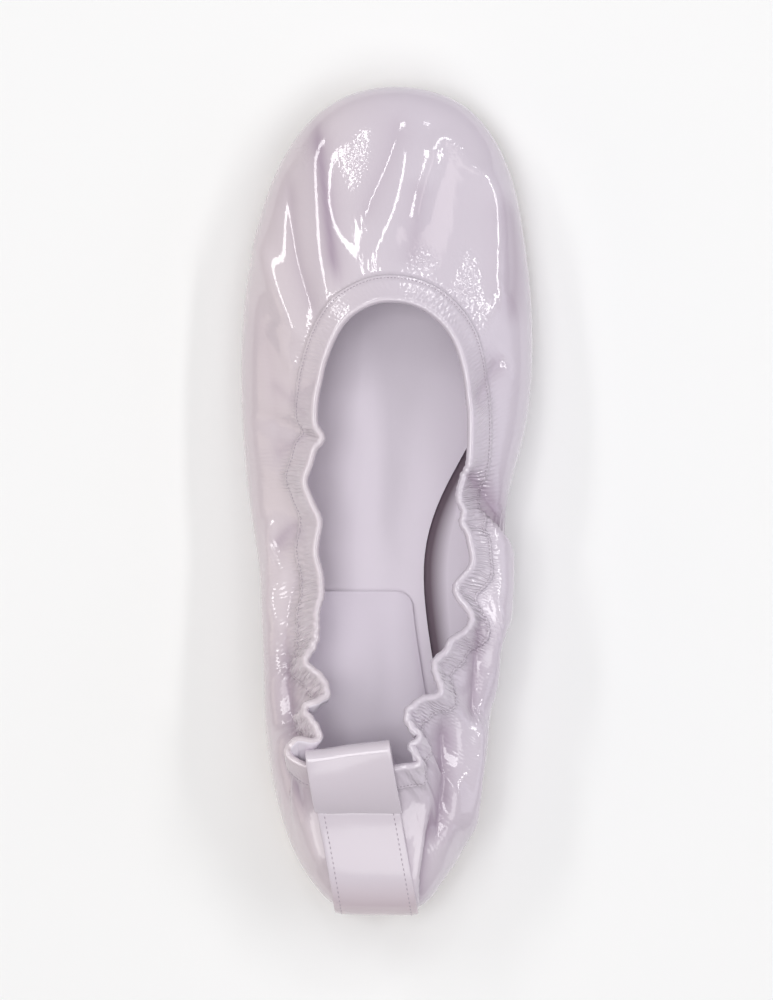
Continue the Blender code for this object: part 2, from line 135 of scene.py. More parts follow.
# Large folds of the collar: section, push as a share of the casing's width, half length in sections
FOLDS = (
    (3.47, 0.6, 0.34), (4.1, -0.3, 0.3), (4.66, 0.52, 0.32), (5.3, -0.42, 0.3), (6.95, 0.22, 0.32),
    (7.8, 0.2, 0.36), (9.4, 0.12, 0.5), (22.1, 0.35, 0.4), (23.27, -0.2, 0.28), (23.63, 0.55, 0.3),
    (24.07, -0.36, 0.28), (24.96, 0.55, 0.32), (25.4, -0.25, 0.28), (26.1, 0.7, 0.42),
    (27.6, -0.35, 0.36),
)

# Small folds between them, too fine for the solids
FINE_FOLDS = (
    (2.4, -0.2, 0.36), (3.76, 0.34, 0.25), (4.35, -0.15, 0.14), (5, 0.15, 0.15),
    (6.6, 0.14, 0.2), (7.95, 0.12, 0.2), (8.6, -0.22, 0.25), (9.38, 0.3, 0.16), (22.3, -0.1, 0.12),
    (22.55, 0.14, 0.12), (24.5, 0.22, 0.14), (25.7, 0.16, 0.13), (26.6, -0.16, 0.15),
    (27.05, 0.2, 0.15),
)
TOE_TURN = max(range(len(SECTIONS)), key=lambda row: SECTIONS[row][1]) / len(SECTIONS)
print("sections:", len(SECTIONS), "folds:", len(FOLDS))


# %% Heights of the sole and the collar
FRONT_DIP_END = 0.4
BACK_RISE_START = 0.55


def smooth_step(value, start, end):
    """0 before start, 1 after end, and an even curve between them."""
    share = np.clip((value - start) / (end - start), 0.0, 1.0)
    return share * share * (3 - 2 * share)


def sole_bottom(y):
    """Height of the outsole's underside: heel seat, arch, flat tread and toe spring."""
    seat = HEEL_LIFT * (1 - smooth_step(y, HEEL_BREAST, BALL_FLAT_BACK))
    front = np.clip((y - BALL_FLAT_FRONT) / (LENGTH / 2 - BALL_FLAT_FRONT), 0.0, None)
    return seat + TOE_SPRING * front * front


def upper_base(y):
    """Height that the upper's turned-in margin lies at, on the outsole."""
    return sole_bottom(y) + OUTSOLE_THICK + GAP


def insole_top(y):
    """Height of the insole's upper face."""
    return upper_base(y) + WALL + GAP + INSOLE_THICK


def collar_height(behind):
    """Height of the collar's edge, from the throat back to the heel."""
    share = behind / COLLAR_LENGTH
    front = THROAT_HEIGHT + (SIDE_HEIGHT - THROAT_HEIGHT) * smooth_step(share, 0.0, FRONT_DIP_END)
    return front + (BACK_HEIGHT - SIDE_HEIGHT) * smooth_step(share, BACK_RISE_START, 1.0)


print("heel seat is up", in_mm(sole_bottom(HEEL_BREAST)))


# %% Smooth curves through the sections
HEEL_END = -0.3
BALL_START = -0.05


def closed_curve(rows):
    """Smooth closed curve through the rows; it takes turns, where 1 is once round."""
    points = np.array(rows, float)
    count = len(points)
    shift = np.roll(np.eye(count), 1, axis=1)
    rises = 3 * (np.roll(points, -1, axis=0) - np.roll(points, 1, axis=0))
    slopes = np.linalg.solve(4 * np.eye(count) + shift + shift.T, rises)

    def at(turns):
        place = np.mod(np.asarray(turns, float), 1.0) * count
        first = np.floor(place).astype(int) % count
        after = (first + 1) % count
        part = (place - np.floor(place))[:, None]
        rest = 1 - part
        held = rest * rest * (1 + 2 * part) * points[first] + part * part * (1 + 2 * rest) * points[after]
        return held + part * rest * (rest * slopes[first] - part * slopes[after])

    return at


def section_sizes(row):
    """One row of SECTIONS in metres; its x are shares of the width of its part of the shoe."""
    side_x, side_y, sole_x, sole_y, collar_x, place, belly, lean = row
    width = HEEL_WIDTH if side_y < HEEL_END else WAIST_WIDTH if side_y < BALL_START else BALL_WIDTH
    return (side_x * width, side_y * LENGTH, sole_x * width, sole_y * LENGTH,
            collar_x * COLLAR_WIDTH, place * COLLAR_LENGTH, belly * SIDE_HEIGHT, math.radians(lean))


SECTION_AT = closed_curve([section_sizes(row) for row in SECTIONS])
print("toe at", in_mm(SECTION_AT([TOE_TURN])[0, 1]))


# %% Folds in the collar's edge
def bell(distance, half):
    """1 in the middle, and the same soft fall on both sides."""
    return np.exp(-(distance / half) ** 2)


def sections_off(turns, section):
    """How many sections lie between each turn and the given one, the short way round."""
    count = len(SECTIONS)
    return np.mod(turns * count - section + count / 2, count) - count / 2


def fold_push(turns):
    """How far the folds push the collar's edge into the opening."""
    push = np.zeros(len(turns))
    for section, depth, half in FOLDS + FINE_FOLDS:
        push += depth * CASING_WIDTH * bell(sections_off(turns, section), half)
    return push


print("deepest fold", in_mm(fold_push(np.linspace(0, 1, 600)).max()))

# %% The wall of the upper
TURN_STEP = 0.002
CURVE_SAMPLES = 320
FOOT_FULLNESS = 0.4
BELLY_FULLNESS = 0.55
SIDE_FULLNESS = 0.6
COLLAR_FULLNESS = 0.45


def unit(vectors):
    """The same directions with a length of one."""
    return vectors / np.linalg.norm(vectors, axis=-1, keepdims=True)


def bezier(first, leave, arrive, last, shares):
    """Points of one cubic curve for each station."""
    t = shares[None, :, None]
    r = 1 - t
    return (r ** 3 * first[:, None] + 3 * r * r * t * leave[:, None]
            + 3 * r * t * t * arrive[:, None] + t ** 3 * last[:, None])


def plan_inward(points_ahead, points_behind):
    """Unit directions in plan, pointing into the shoe from a curve that runs clockwise."""
    along = unit(points_ahead - points_behind)
    return np.stack([along[:, 1], -along[:, 0], np.zeros(len(along))], axis=1)


def wall_curves(turns):
    """The outer surface for each turn: the margin's inner end, and the curves below and above the side."""
    turns = np.asarray(turns, float)
    at = SECTION_AT(turns)
    before = SECTION_AT(turns - TURN_STEP)
    after = SECTION_AT(turns + TURN_STEP)
    sole = np.stack([at[:, 2], at[:, 3], upper_base(at[:, 3])], axis=1)
    inward = plan_inward(after[:, 2:4], before[:, 2:4])
    side = np.stack([at[:, 0], at[:, 1], sole[:, 2] + at[:, 6]], axis=1)
    behind = at[:, 5]
    collar = np.stack([at[:, 4], THROAT - behind, collar_height(behind)], axis=1)
    # the collar's places are counted backwards from the throat, so its y runs the other way
    across = plan_inward(after[:, 4:6] * (1, -1), before[:, 4:6] * (1, -1))
    collar += across * fold_push(turns)[:, None]

    up = np.array([0.0, 0.0, 1.0])
    lean = at[:, 7][:, None]
    foot = sole + inward * FEATHER_ROUND
    margin = sole + inward * MARGIN
    for laid in (foot, margin):
        laid[:, 2] = upper_base(laid[:, 1])
    out = side - sole
    out[:, 2] = 0
    belly = (side[:, 2] - sole[:, 2])[:, None]
    shares = np.linspace(0, 1, CURVE_SAMPLES)
    lower = bezier(foot, sole + out * FOOT_FULLNESS, side - up * belly * BELLY_FULLNESS, side, shares)

    rise = (collar[:, 2] - side[:, 2])[:, None]
    over = collar - side
    over[:, 2] = 0
    reach = np.linalg.norm(over, axis=1, keepdims=True)
    heading = over / reach * np.cos(lean) + up * np.sin(lean)
    pull = COLLAR_FULLNESS * np.hypot(reach, rise)
    upper = bezier(side, side + up * rise * SIDE_FULLNESS, collar - heading * pull, collar, shares)
    return margin, lower, upper


print("top of the back is up", in_mm(wall_curves([0.0])[2][0, -1, 2]))


# %% Walk along the wall
def distances_along(line):
    """How far along a line each of its points lies."""
    return np.concatenate([[0.0], np.cumsum(np.linalg.norm(np.diff(line, axis=0), axis=1))])


def points_at(line, walked, places):
    """Points at the given places along a line; walked is how far along its own points lie."""
    return np.stack([np.interp(places, walked, line[:, axis]) for axis in range(line.shape[1])], axis=-1)


def along_curves(curves, distances):
    """Points at the given distances down each curve from its last point."""
    return np.stack([points_at(curve[::-1], distances_along(curve[::-1]), down)
                     for curve, down in zip(curves, distances)])


def curve_lengths(curves):
    """Length of each curve."""
    return np.linalg.norm(np.diff(curves, axis=1), axis=2).sum(axis=1)


def outward(grid, closed=False):
    """Unit normals of a grid of stations by rows, pointing away from the foot."""
    if closed:
        along = np.roll(grid, -1, axis=0) - np.roll(grid, 1, axis=0)
    else:
        along = np.gradient(grid, axis=0)
    return unit(np.cross(np.gradient(grid, axis=1), along))


def casing_raise(below):
    """How far the folded casing stands out of the wall at a distance below the collar's edge."""
    step = 1 - smooth_step(below, CASING_WIDTH, CASING_WIDTH + CASING_RAISE)
    rolled = smooth_step(below, -CASING_RAISE, CASING_RAISE)
    return CASING_RAISE * step * rolled


print("casing is wide", in_mm(CASING_WIDTH))

# %% [markdown]
# Creases
#
# Patent leather is a stiff film over soft skin, so it does not wrinkle evenly. It breaks into
# a few long folds that run from the gathered throat towards the toe. A glossy surface mirrors
# a lamp only where it has one certain tilt. So the folds are low, round ridges with sharper
# troughs between them, and the wall passes that tilt once on its way from one to the next:
# the lamp shows as one thin line. Each fold is drawn as a path in plan, laid on the wall, and
# lifts or sinks the surface beside it.

# %% Ridges and troughs
# in mm: height, half width at the start and at the end, and the points of the path
CREASES = (
    # the open V in the middle of the vamp, and the fold inside it
    (0.42, 2.8, 2.8, ((-17.6, 113), (-17.3, 101.6), (-16.6, 88.3), (-14.6, 79), (-11, 71.4),
        (-7, 65))),
    (0.48, 2.6, 3, ((7.4, 111), (6.3, 98.4), (4.5, 88.6), (1, 80.2), (-3.6, 72.4), (-7.5, 66))),
    (-0.6, 4.4, 3.2, ((4.3, 120.1), (3.2, 110.8), (0.6, 101.8), (-3, 93.8), (-6.2, 85.8), (-7.8, 79))),
    # the arch beside it and the long fold that drops from its end
    (0.7, 1.9, 1.9, ((8.4, 78), (9.6, 87), (11.6, 95), (13.8, 101.5), (17, 108.5))),
    (0.42, 1.9, 2.2, ((9.5, 99), (12.8, 105), (16.4, 108.6), (20, 106.8), (22.7, 100.9),
        (26.8, 97.8), (32, 93))),
    (1.15, 3, 3.4, ((26.4, 104.5), (29.8, 98.2), (32.9, 93.2), (34.2, 86.6), (34.2, 77.5),
        (33.7, 66.7), (33.2, 54))),
    # long folds on the outer side of the vamp
    (0.6, 3, 2.8, ((-23.6, 114), (-21.3, 97.8), (-19.3, 80), (-17.1, 61.4), (-16.4, 54))),
    (-0.75, 3, 2.6, ((-30.6, 101), (-29.3, 92.7), (-28.3, 81), (-26.5, 69.8), (-22.3, 57.2), (-19.5, 50))),
    (1.1, 2.8, 2.6, ((-39.5, 83), (-38.2, 75), (-34.8, 66.5), (-32.9, 63.4), (-27.4, 49.5), (-24.6, 42))),
    (0.5, 2, 2, ((-33.9, 54.1), (-30.7, 46), (-26.6, 36.9))),
    # soft folds on the inner side of the vamp
    (0.45, 3.6, 3, ((38.5, 63.4), (31.6, 53.1), (26, 44.4))),
    (-0.9, 3.6, 2.4, ((36.3, 43.6), (28.9, 35.2), (25.3, 26.4))),
    (-2, 3, 4.4, ((22, 9.6), (28.9, 2.9), (35.9, -7.3))),
    # the outer quarter
    (1.2, 3.4, 3.8, ((-37, -16), (-35.6, -34), (-34.4, -52), (-32.4, -68), (-29, -88),
        (-24.6, -104))),
    (-1.7, 3, 2.8, ((-30.4, -36), (-29.8, -52), (-28.4, -68), (-26.4, -86), (-22.6, -98))),
    (1, 2, 2.2, ((-24.6, -80), (-24, -92), (-22.2, -101), (-18.2, -112))),
    (-0.35, 5.4, 5, ((-38.6, 62), (-34.6, 37), (-32, 14.6), (-31, 0.2))),
    (0.7, 1.6, 1.6, ((-35, -2), (-35, -12), (-34.6, -24), (-34.8, -38))),
    (-0.6, 1.8, 2.8, ((-22.8, -7.9), (-28.9, -11.9), (-35.1, -15.5))),
    (0.5, 1.6, 2, ((-30.4, -16), (-32.4, -28), (-33, -42))),
    (-0.4, 1.8, 3, ((-23.5, -19.1), (-28.6, -29.2), (-30.4, -44.2))),
    (-0.35, 1.6, 2, ((-17.1, 38.4), (-22.5, 33.5), (-29.6, 30.1))),
    # the inner quarter
    (-1.8, 2.4, 2.6, ((27.8, -32), (27, -46), (26.2, -58), (25.8, -68))),
    (1.2, 1.7, 1.9, ((27, -25), (30.2, -27.2), (31.8, -31), (32.6, -38), (32.6, -50),
        (31.4, -64))),
    (1.8, 2.6, 3, ((28, -62), (27.6, -74), (25.6, -88), (22.6, -104))),
    (-2, 2.6, 3, ((16.6, -61.1), (17.6, -84.1), (14.4, -104.8))),
    (1.2, 2.2, 2.6, ((21.4, -60.1), (21.6, -80.3), (17.6, -106.8))),
)

# Pleats, where one fold laps over the next: height, edge width, reach, and the path with the
# raised side on its left
PLEATS = (
    (3, 0.4, 8, ((37, -46.2), (36.4, -24), (34.4, -11), (31, -5.4), (24.8, -1))),
    (1.6, 0.45, 5, ((10.1, -124.6), (9.2, -115.7), (10.5, -104.3), (13.6, -87.7))),
    (1.2, 0.45, 6, ((20, -116.9), (24, -99.8), (26.2, -86.3), (28.8, -66.5))),
)

# Bands of deeper colour where a fold lies in its own shade: as CREASES, but not raised
SHADES = (
    (-2.1, 2.2, 1.8, ((-21.9, 117), (-19.6, 102.3), (-17.7, 86.4), (-15.9, 71.9), (-13.2, 60.6))),
    (-0.8, 3, 3, ((10.5, 97.6), (8.7, 80.9), (7.4, 66.4))),
    (-1.2, 4, 4, ((35.4, 93.5), (37.6, 81.3), (38.5, 68.6), (37.1, 50.5))),
    (-0.6, 1, 1.6, ((-20.8, 20.8), (-27.5, 16.8), (-34.8, 13.2))),
    (-0.5, 0.8, 1.2, ((-21.7, 23.4), (-28, 29.3), (-35.7, 36.2))),
    (-0.9, 1.4, 1.4, ((-24.9, -6), (-29.4, -8.7), (-33.9, -14.1))),
)

print("creases:", len(CREASES), "pleats:", len(PLEATS))

# %% [markdown]
# Gathers
#
# The elastic in the casing is shorter than the leather round it, so the collar bunches. On a
# real shoe the bunches come in groups: calm at the throat, crowded near the heel. Each group
# below is a short train of ripples that is strongest at the collar and dies out in the wall.

# %% Groups of gathers
# section, half length in sections, height in mm, wave in mm, slant of the ripples down the wall
GATHERS = (
    (4.2, 0.6, 0.55, 3.2, -0.4), (4.8, 0.8, 0.5, 3.2, 0.6), (5.7, 0.6, 0.5, 2.9, -0.3),
    (6.35, 0.45, 0.5, 2.3, 0.2), (7.15, 0.5, 0.32, 2.2, -0.2), (7.9, 0.25, 0.4, 1.8, 0.1),
    (8.6, 0.8, 0.1, 1.5, 0), (9.35, 0.18, 0.45, 1.6, 0.1), (10.8, 0.9, 0.13, 1.5, 0.2),
    (17.6, 1.1, 0.11, 1.6, -0.2), (19.6, 0.9, 0.1, 1.8, -0.2), (21.9, 0.55, 0.35, 2, 0.3),
    (22.5, 0.35, 0.35, 1.7, -0.1), (23.6, 0.4, 0.4, 1.9, 0.1), (24.3, 0.5, 0.4, 2.4, -0.2),
    (25, 0.5, 0.5, 2.4, 0.3), (26.1, 0.6, 0.5, 3, -0.4), (27.4, 0.8, 0.45, 3.4, 0.4),
)
GATHER_AT_RIM = 0.3
GATHER_FULL = 0.45 * CASING_WIDTH
GATHER_FADE = 0.8 * CASING_WIDTH
GATHER_TAIL_WAVES = 2.4


def gather_field(turns, walked, below):
    """Height of the gathers: walked is the way along the collar, and below the way down from it."""
    chance = random.Random(7)
    total = np.zeros_like(below)
    for section, half, height, wave, slant in GATHERS:
        near = bell(sections_off(turns[:, None], section), half)
        drift = sum(chance.uniform(0.5, 1.1) * np.sin(walked[:, None] / MM / chance.uniform(3.0, 9.0)
                                                      + chance.uniform(0, 6.28)) for _ in range(3))
        ripple = np.cos(2 * math.pi * (walked[:, None] + slant * below) / (wave * MM) + drift)
        rim = GATHER_AT_RIM + (1 - GATHER_AT_RIM) * smooth_step(below, 0.0, GATHER_FULL)
        down = 1 - smooth_step(below, GATHER_FADE, CASING_WIDTH + GATHER_TAIL_WAVES * wave * MM)
        total += height * MM * near * ripple * down * rim
    return total


print("groups of gathers:", len(GATHERS))


# %% [markdown]
# Sheets from grids
#
# Each soft piece is a grid primitive laid over computed points, in stations by rows. The upper
# closes on itself both ways: its stations run round the shoe, and its rows run up the outside,
# over the collar, down the lining and home under the margin. So one mesh holds the outer face,
# the rolled edge and the inside, with a real thickness everywhere.

# %% Lay a grid over points
SAME_PLACE = 1e-7


def new_object(name, data):
    """An object for a mesh, a lamp or a camera, added to the scene."""
    made = bpy.data.objects.new(name, data)
    bpy.context.scene.collection.objects.link(made)
    return made


def mesh_object(name, sheet, materials):
    """An object that takes over an edited mesh, with its materials."""
    mesh = bpy.data.meshes.new(name)
    sheet.to_mesh(mesh)
    sheet.free()
    for material in materials:
        mesh.materials.append(material)
    return new_object(name, mesh)


def laid_grid(name, grid, closed, materials, material_rows=()):
    """A grid primitive laid over stations by rows; closed joins its last ones to its first."""
    stations, rows = grid.shape[:2]
    columns = stations if closed else stations - 1
    lines = rows if closed else rows - 1
    sheet = bmesh.new()
    bmesh.ops.create_grid(sheet, x_segments=columns, y_segments=lines, size=1)
    for face in sheet.faces:
        line = int((face.calc_center_median().y + 1) / 2 * lines)
        face.material_index = sum(line >= start for start in material_rows)
        face.smooth = True
    for title in ("station", "row"):
        sheet.verts.layers.int.new(title)
    station_layer, row_layer = sheet.verts.layers.int.values()
    for vertex in sheet.verts:
        station = vertex[station_layer] = round((vertex.co.x + 1) / 2 * columns) % stations
        row = vertex[row_layer] = round((vertex.co.y + 1) / 2 * lines) % rows
        vertex.co = grid[station, row]
    if closed:
        bmesh.ops.remove_doubles(sheet, verts=sheet.verts, dist=SAME_PLACE)
    return mesh_object(name, sheet, materials)


print("a grid joins points closer than", SAME_PLACE, "m")


# %% Values and thickness for a sheet
RIM_SEGMENTS = 3
SHARP = math.radians(50)


def store_values(made, name, values):
    """Keeps one number for each vertex, taken from a table of stations by rows, for the material."""
    mesh = made.data
    places = np.zeros((2, len(mesh.vertices)), np.int32)
    for title, numbers in zip(("station", "row"), places):
        mesh.attributes[title].data.foreach_get("value", numbers)
    kept = mesh.attributes.new(name, "FLOAT", "POINT")
    kept.data.foreach_set("value", values[tuple(places)].astype(np.float32))


def closed_sheet(name, grid, thickness, materials, rim, side=-1):
    """A sheet through the grid with round rims, thick below it, or above it where side is 1."""
    made = laid_grid(name, grid, False, materials)
    solid = made.modifiers.new("thickness", "SOLIDIFY")
    solid.thickness = thickness
    solid.offset = side
    bevel = made.modifiers.new("rims", "BEVEL")
    bevel.width = rim
    bevel.segments = RIM_SEGMENTS
    bevel.limit_method = "ANGLE"
    bevel.angle_limit = SHARP
    return made


print("rims are rounded in", RIM_SEGMENTS, "steps")

# %% [markdown]
# Materials
#
# Patent leather is dyed leather under a clear lacquer. In the shader that is a fairly rough
# base colour under a coat with almost no roughness: the base gives the soft lilac, and the
# coat gives the hard white streaks. The leather below is never quite flat, so a wide, weak
# bump makes the mirrored lamps waver, and a fine one breaks them up where the skin puckers.


# %% Colours and nodes
def colour(code):
    """A colour written as sRGB hexadecimal, in the linear values that shaders use."""
    parts = [int(code[place:place + 2], 16) / 255 for place in (0, 2, 4)]
    linear = [part / 12.92 if part <= 0.04045 else ((part + 0.055) / 1.055) ** 2.4 for part in parts]
    return (*linear, 1.0)


def feed(tree, node, inputs):
    """Gives each named socket of a node its value, or links it to the output of another node."""
    for socket, value in inputs.items():
        if isinstance(value, bpy.types.NodeSocket):
            tree.links.new(value, node.inputs[socket])
        else:
            node.inputs[socket].default_value = value


def add_node(tree, kind, inputs, **settings):
    """Adds one shader node of a kind, such as TexNoise, with its settings and inputs."""
    node = tree.nodes.new("ShaderNode" + kind)
    for name, value in settings.items():
        setattr(node, name, value)
    feed(tree, node, inputs)
    return node


def new_material(name, code, roughness):
    """A material of one colour and roughness, with its tree, its shader and the place on the object."""
    material = bpy.data.materials.new(name)
    material.use_nodes = True
    material.diffuse_color = colour(code)
    tree = material.node_tree
    shader = tree.nodes["Principled BSDF"]
    feed(tree, shader, {"Base Color": colour(code), "Roughness": roughness})
    return material, tree, shader, add_node(tree, "TexCoord", {}).outputs["Object"]


def soft_bumps(tree, layers):
    """Bumps one on another: each layer is a height, its depth in metres, and its strength."""
    normal = None
    for height, depth, strength in layers:
        inputs = {"Height": height, "Distance": depth, "Strength": strength}
        if normal is not None:
            inputs["Normal"] = normal
        normal = add_node(tree, "Bump", inputs).outputs["Normal"]
    return normal


def lacquer(tree, shader, tone, layers, roughness):
    """Links a tone and bumps to the base, and lays a clear coat over them with the same bumps."""
    bumped = soft_bumps(tree, layers)
    feed(tree, shader, {"Base Color": tone, "Normal": bumped, "Coat Normal": bumped,
                        "Coat Weight": 1.0, "Coat Roughness": roughness})


print("middle grey in linear values:", round(colour("808080")[0], 3))

# %% Patent leather
# The ribs of the gathered casing stand a little over a millimetre apart.
RIB_PITCH = 1.2
patent, tree, shader, place = new_material("lilac patent leather", "d9cfd9", 0.42)
stored = {name: add_node(tree, "Attribute", {}, attribute_name=name).outputs["Fac"]
          for name in ("warm_reflection", "shade", "pucker", "ribs", "ribs_along")}
# painted reflection: the base lilac turns warmer where the stored warm reflection lies
lilac_with_reflection = add_node(tree, "Mix", {0: stored["warm_reflection"], 6: colour("d6ccd8"), 7: colour("dccfd3")},
                      data_type="RGBA").outputs[2]
# painted shade: the lilac darkens towards a895a8 where the stored shade marks a trough, a shaded band or
# the lap of a pleat
fold_shade_tone = add_node(tree, "Mix", {0: stored["shade"], 6: lilac_with_reflection, 7: colour("a895a8")},
                     data_type="RGBA").outputs[2]
turned = add_node(tree, "Math", {0: stored["ribs_along"], 1: 2 * math.pi / RIB_PITCH},
                  operation="MULTIPLY").outputs[0]
drift = add_node(tree, "TexNoise", {"Vector": place, "Scale": 260.0, "Detail": 1.0})
moved = add_node(tree, "Math", {0: drift.outputs["Fac"], 1: 9.0, 2: turned},
                 operation="MULTIPLY_ADD").outputs[0]
ripple = add_node(tree, "Math", {0: moved}, operation="SINE").outputs[0]
waver = add_node(tree, "TexNoise", {"Vector": place, "Scale": 140.0, "Detail": 1.0})
grain = add_node(tree, "TexNoise", {"Vector": place, "Scale": 1400.0, "Detail": 2.0})
puckers = add_node(tree, "TexVoronoi", {"Vector": place, "Scale": 1100.0}, feature="SMOOTH_F1")
lacquer(tree, shader, fold_shade_tone, (
    (ripple, 0.00019, stored["ribs"]),
    (waver.outputs["Fac"], 0.00022, 0.15),
    (puckers.outputs["Distance"], 0.00022, stored["pucker"]),
    (grain.outputs["Fac"], 0.00002, 0.25),
), 0.06)
feed(tree, shader, {"Coat IOR": 1.6})
print("patent leather:", len(tree.nodes), "nodes")

# %% Strap leather
# A smoother cut of the same leather, pinker in tone, so the heel strip reads as a flat ribbon.
strap, tree, shader, place = new_material("lilac strap leather", "d9ced6", 0.40)
along = add_node(tree, "SeparateXYZ", {0: place}).outputs["Y"]
# painted shade: the strip turns darker and pinker over its lowest part, near the sole
strap_foot_shade = add_node(tree, "MapRange", {0: along, 1: -0.112, 2: -0.126}).outputs[0]
strap_shaded_tone = add_node(tree, "Mix", {0: strap_foot_shade, 6: colour("dad0da"), 7: colour("d2bfc6")},
                     data_type="RGBA").outputs[2]
waver = add_node(tree, "TexNoise", {"Vector": place, "Scale": 90.0, "Detail": 1.0})
grain = add_node(tree, "TexNoise", {"Vector": place, "Scale": 1600.0, "Detail": 2.0})
lacquer(tree, shader, strap_shaded_tone, (
    (waver.outputs["Fac"], 0.0002, 0.25),
    (grain.outputs["Fac"], 0.00002, 0.2),
), 0.10)
print("strap leather:", len(tree.nodes), "nodes")

# %% Lining, pad, thread and rubber
# The lining has a dry, even nap; the pad is a little smoother; thread and rubber are matt.
LINING_COLOUR = "e7dfe9"
plain = {}
for name, code, roughness, scale, depth in (
        ("lilac kid lining", LINING_COLOUR, 0.62, 900.0, 0.00005),
        ("lilac padded leather", "ded5e1", 0.45, 1300.0, 0.00004),
        ("polyester thread", "b3a8b3", 0.70, 2500.0, 0.00003),
        ("beige rubber", "c3aea4", 0.68, 700.0, 0.00010)):
    plain[name], tree, shader, place = new_material(name, code, roughness)
    grain = add_node(tree, "TexNoise", {"Vector": place, "Scale": scale, "Detail": 3.0})
    feed(tree, shader, {"Normal": soft_bumps(tree, ((grain.outputs["Fac"], depth, 0.5),))})
lining = plain["lilac kid lining"]
tree = lining.node_tree
# painted shade: the lining darkens towards 6b5a66 at its foot beside the insole, and the insole darkens
# under the outer collar
shade = add_node(tree, "Attribute", {}, attribute_name="shade").outputs["Fac"]
lining_shade_tone = add_node(tree, "Mix", {0: shade, 6: colour(LINING_COLOUR), 7: colour("6b5a66")},
                     data_type="RGBA").outputs[2]
feed(tree, tree.nodes["Principled BSDF"], {"Base Color": lining_shade_tone})
pad_leather = plain["lilac padded leather"]
tree = pad_leather.node_tree
feed(tree, tree.nodes["Principled BSDF"], {"Coat Weight": 0.4, "Coat Roughness": 0.25})
thread = plain["polyester thread"]
rubber = plain["beige rubber"]
print("plain materials:", ", ".join(plain))

# %% [markdown]
# The upper
#
# The wall is sampled at 720 stations round the shoe, which is one every half millimetre along
# the collar. Rows are close where the form is tight, at the rolled edge and the step of the
# casing, and further apart on the wall. The lining needs fewer rows, as it is smooth.

# %% Rows of the upper
STATIONS = 720
MARGIN_ROWS = 3
LOWER_ROWS = 12
CASING_ROWS = 14
RIM = (WALL + CASING_RAISE) / 2
turns = np.arange(STATIONS) / STATIONS
margin, lower, upper = wall_curves(turns)
whole = np.concatenate([margin[:, None], lower, upper[:, 1:]], axis=1)
upper_length = curve_lengths(upper)[:, None]
lower_length = curve_lengths(lower)[:, None]
margin_length = curve_lengths(whole)[:, None] - upper_length - lower_length
casing_foot = CASING_WIDTH + CASING_RAISE


def wall_rows(margin_rows, lower_rows, upper_rows, casing):
    """Distances below the collar's edge, from the margin's inner end up to the casing's rows."""
    return np.concatenate([
        upper_length + lower_length + margin_length * np.linspace(1, 0, margin_rows + 1)[None, :-1],
        upper_length + lower_length * np.linspace(1, 0, lower_rows + 1)[None, :-1],
        casing_foot + (upper_length - casing_foot) * np.linspace(1, 0, upper_rows + 1)[None, :-1],
        np.tile(casing, (STATIONS, 1)),
    ], axis=1)


step_rows = casing_foot - CASING_RAISE * np.linspace(0, 1, 5)[:-1]
outer_casing = np.concatenate([step_rows, np.linspace(CASING_WIDTH, RIM, CASING_ROWS)])
outer_down = wall_rows(MARGIN_ROWS, LOWER_ROWS, 51, outer_casing)
inner_down = wall_rows(2, 6, 10, np.linspace(casing_foot, RIM, 8))
outer_base = along_curves(whole, outer_down)
inner_base = along_curves(whole, inner_down)
outer_normal = outward(outer_base, closed=True)
inner_normal = outward(inner_base, closed=True)
walked = distances_along(outer_base[:, -1])
print("rows outside", outer_down.shape[1], "and inside", inner_down.shape[1])
print("way round the collar", in_mm(walked[-1]))


# %% Lay a crease's path on the wall
PATH_STEP = 1.0
LEAST_POINTS = 8
POINTS_TO_A_PASS = 6
HEIGHT_PASSES = 6


def relaxed(values, passes):
    """Draws each value towards its neighbours, and leaves both ends where they are."""
    for _ in range(passes):
        values[1:-1] = (values[:-2] + 2 * values[1:-1] + values[2:]) / 4
    return values


def laid_path(points):
    """A path in plan, rounded at its points and laid on the outer wall, as points in metres."""
    points = np.array(points, float)
    walked = distances_along(points)
    count = max(LEAST_POINTS, int(walked[-1] / PATH_STEP))
    plan = points_at(points, walked, np.linspace(0, walked[-1], count))
    plan = relaxed(plan, max(1, count // POINTS_TO_A_PASS)) * MM
    field = outer_base[:, MARGIN_ROWS + LOWER_ROWS:].reshape(-1, 3)
    nearest = [np.argmin(((field[:, :2] - place) ** 2).sum(axis=1)) for place in plan]
    return np.column_stack([plan, relaxed(field[nearest, 2], HEIGHT_PASSES)])


def near_path(points, path, reach):
    """Which points lie within reach of a path, how far off, where along it, and on which side."""
    low = path.min(axis=0) - reach
    high = path.max(axis=0) + reach
    close = np.flatnonzero(((points > low) & (points < high)).all(axis=1))
    apart = np.linalg.norm(points[close, None] - path[None], axis=2)
    nearest = apart.argmin(axis=1)
    distance = apart[np.arange(len(close)), nearest]
    heading = np.gradient(path, axis=0)[nearest]
    offset = points[close] - path[nearest]
    side = np.sign(heading[:, 0] * offset[:, 1] - heading[:, 1] * offset[:, 0])
    return close, distance, nearest / (len(path) - 1), side


print("first crease has", len(laid_path(CREASES[0][3])), "points")

# %% Push the wall out and in
CREST = 0.6 * MM
CREASE_REACH = 6
CREASE_FADE = 0.22
PLEAT_REACH = 3
PLEAT_FADE = 0.25
PLEAT_SHADOW = 1.6 * MM


def faded(share, end):
    """1 along the middle of a path, and an even fade to 0 over a share of it at each end."""
    return smooth_step(share, 0.0, end) * (1 - smooth_step(share, 1 - end, 1.0))


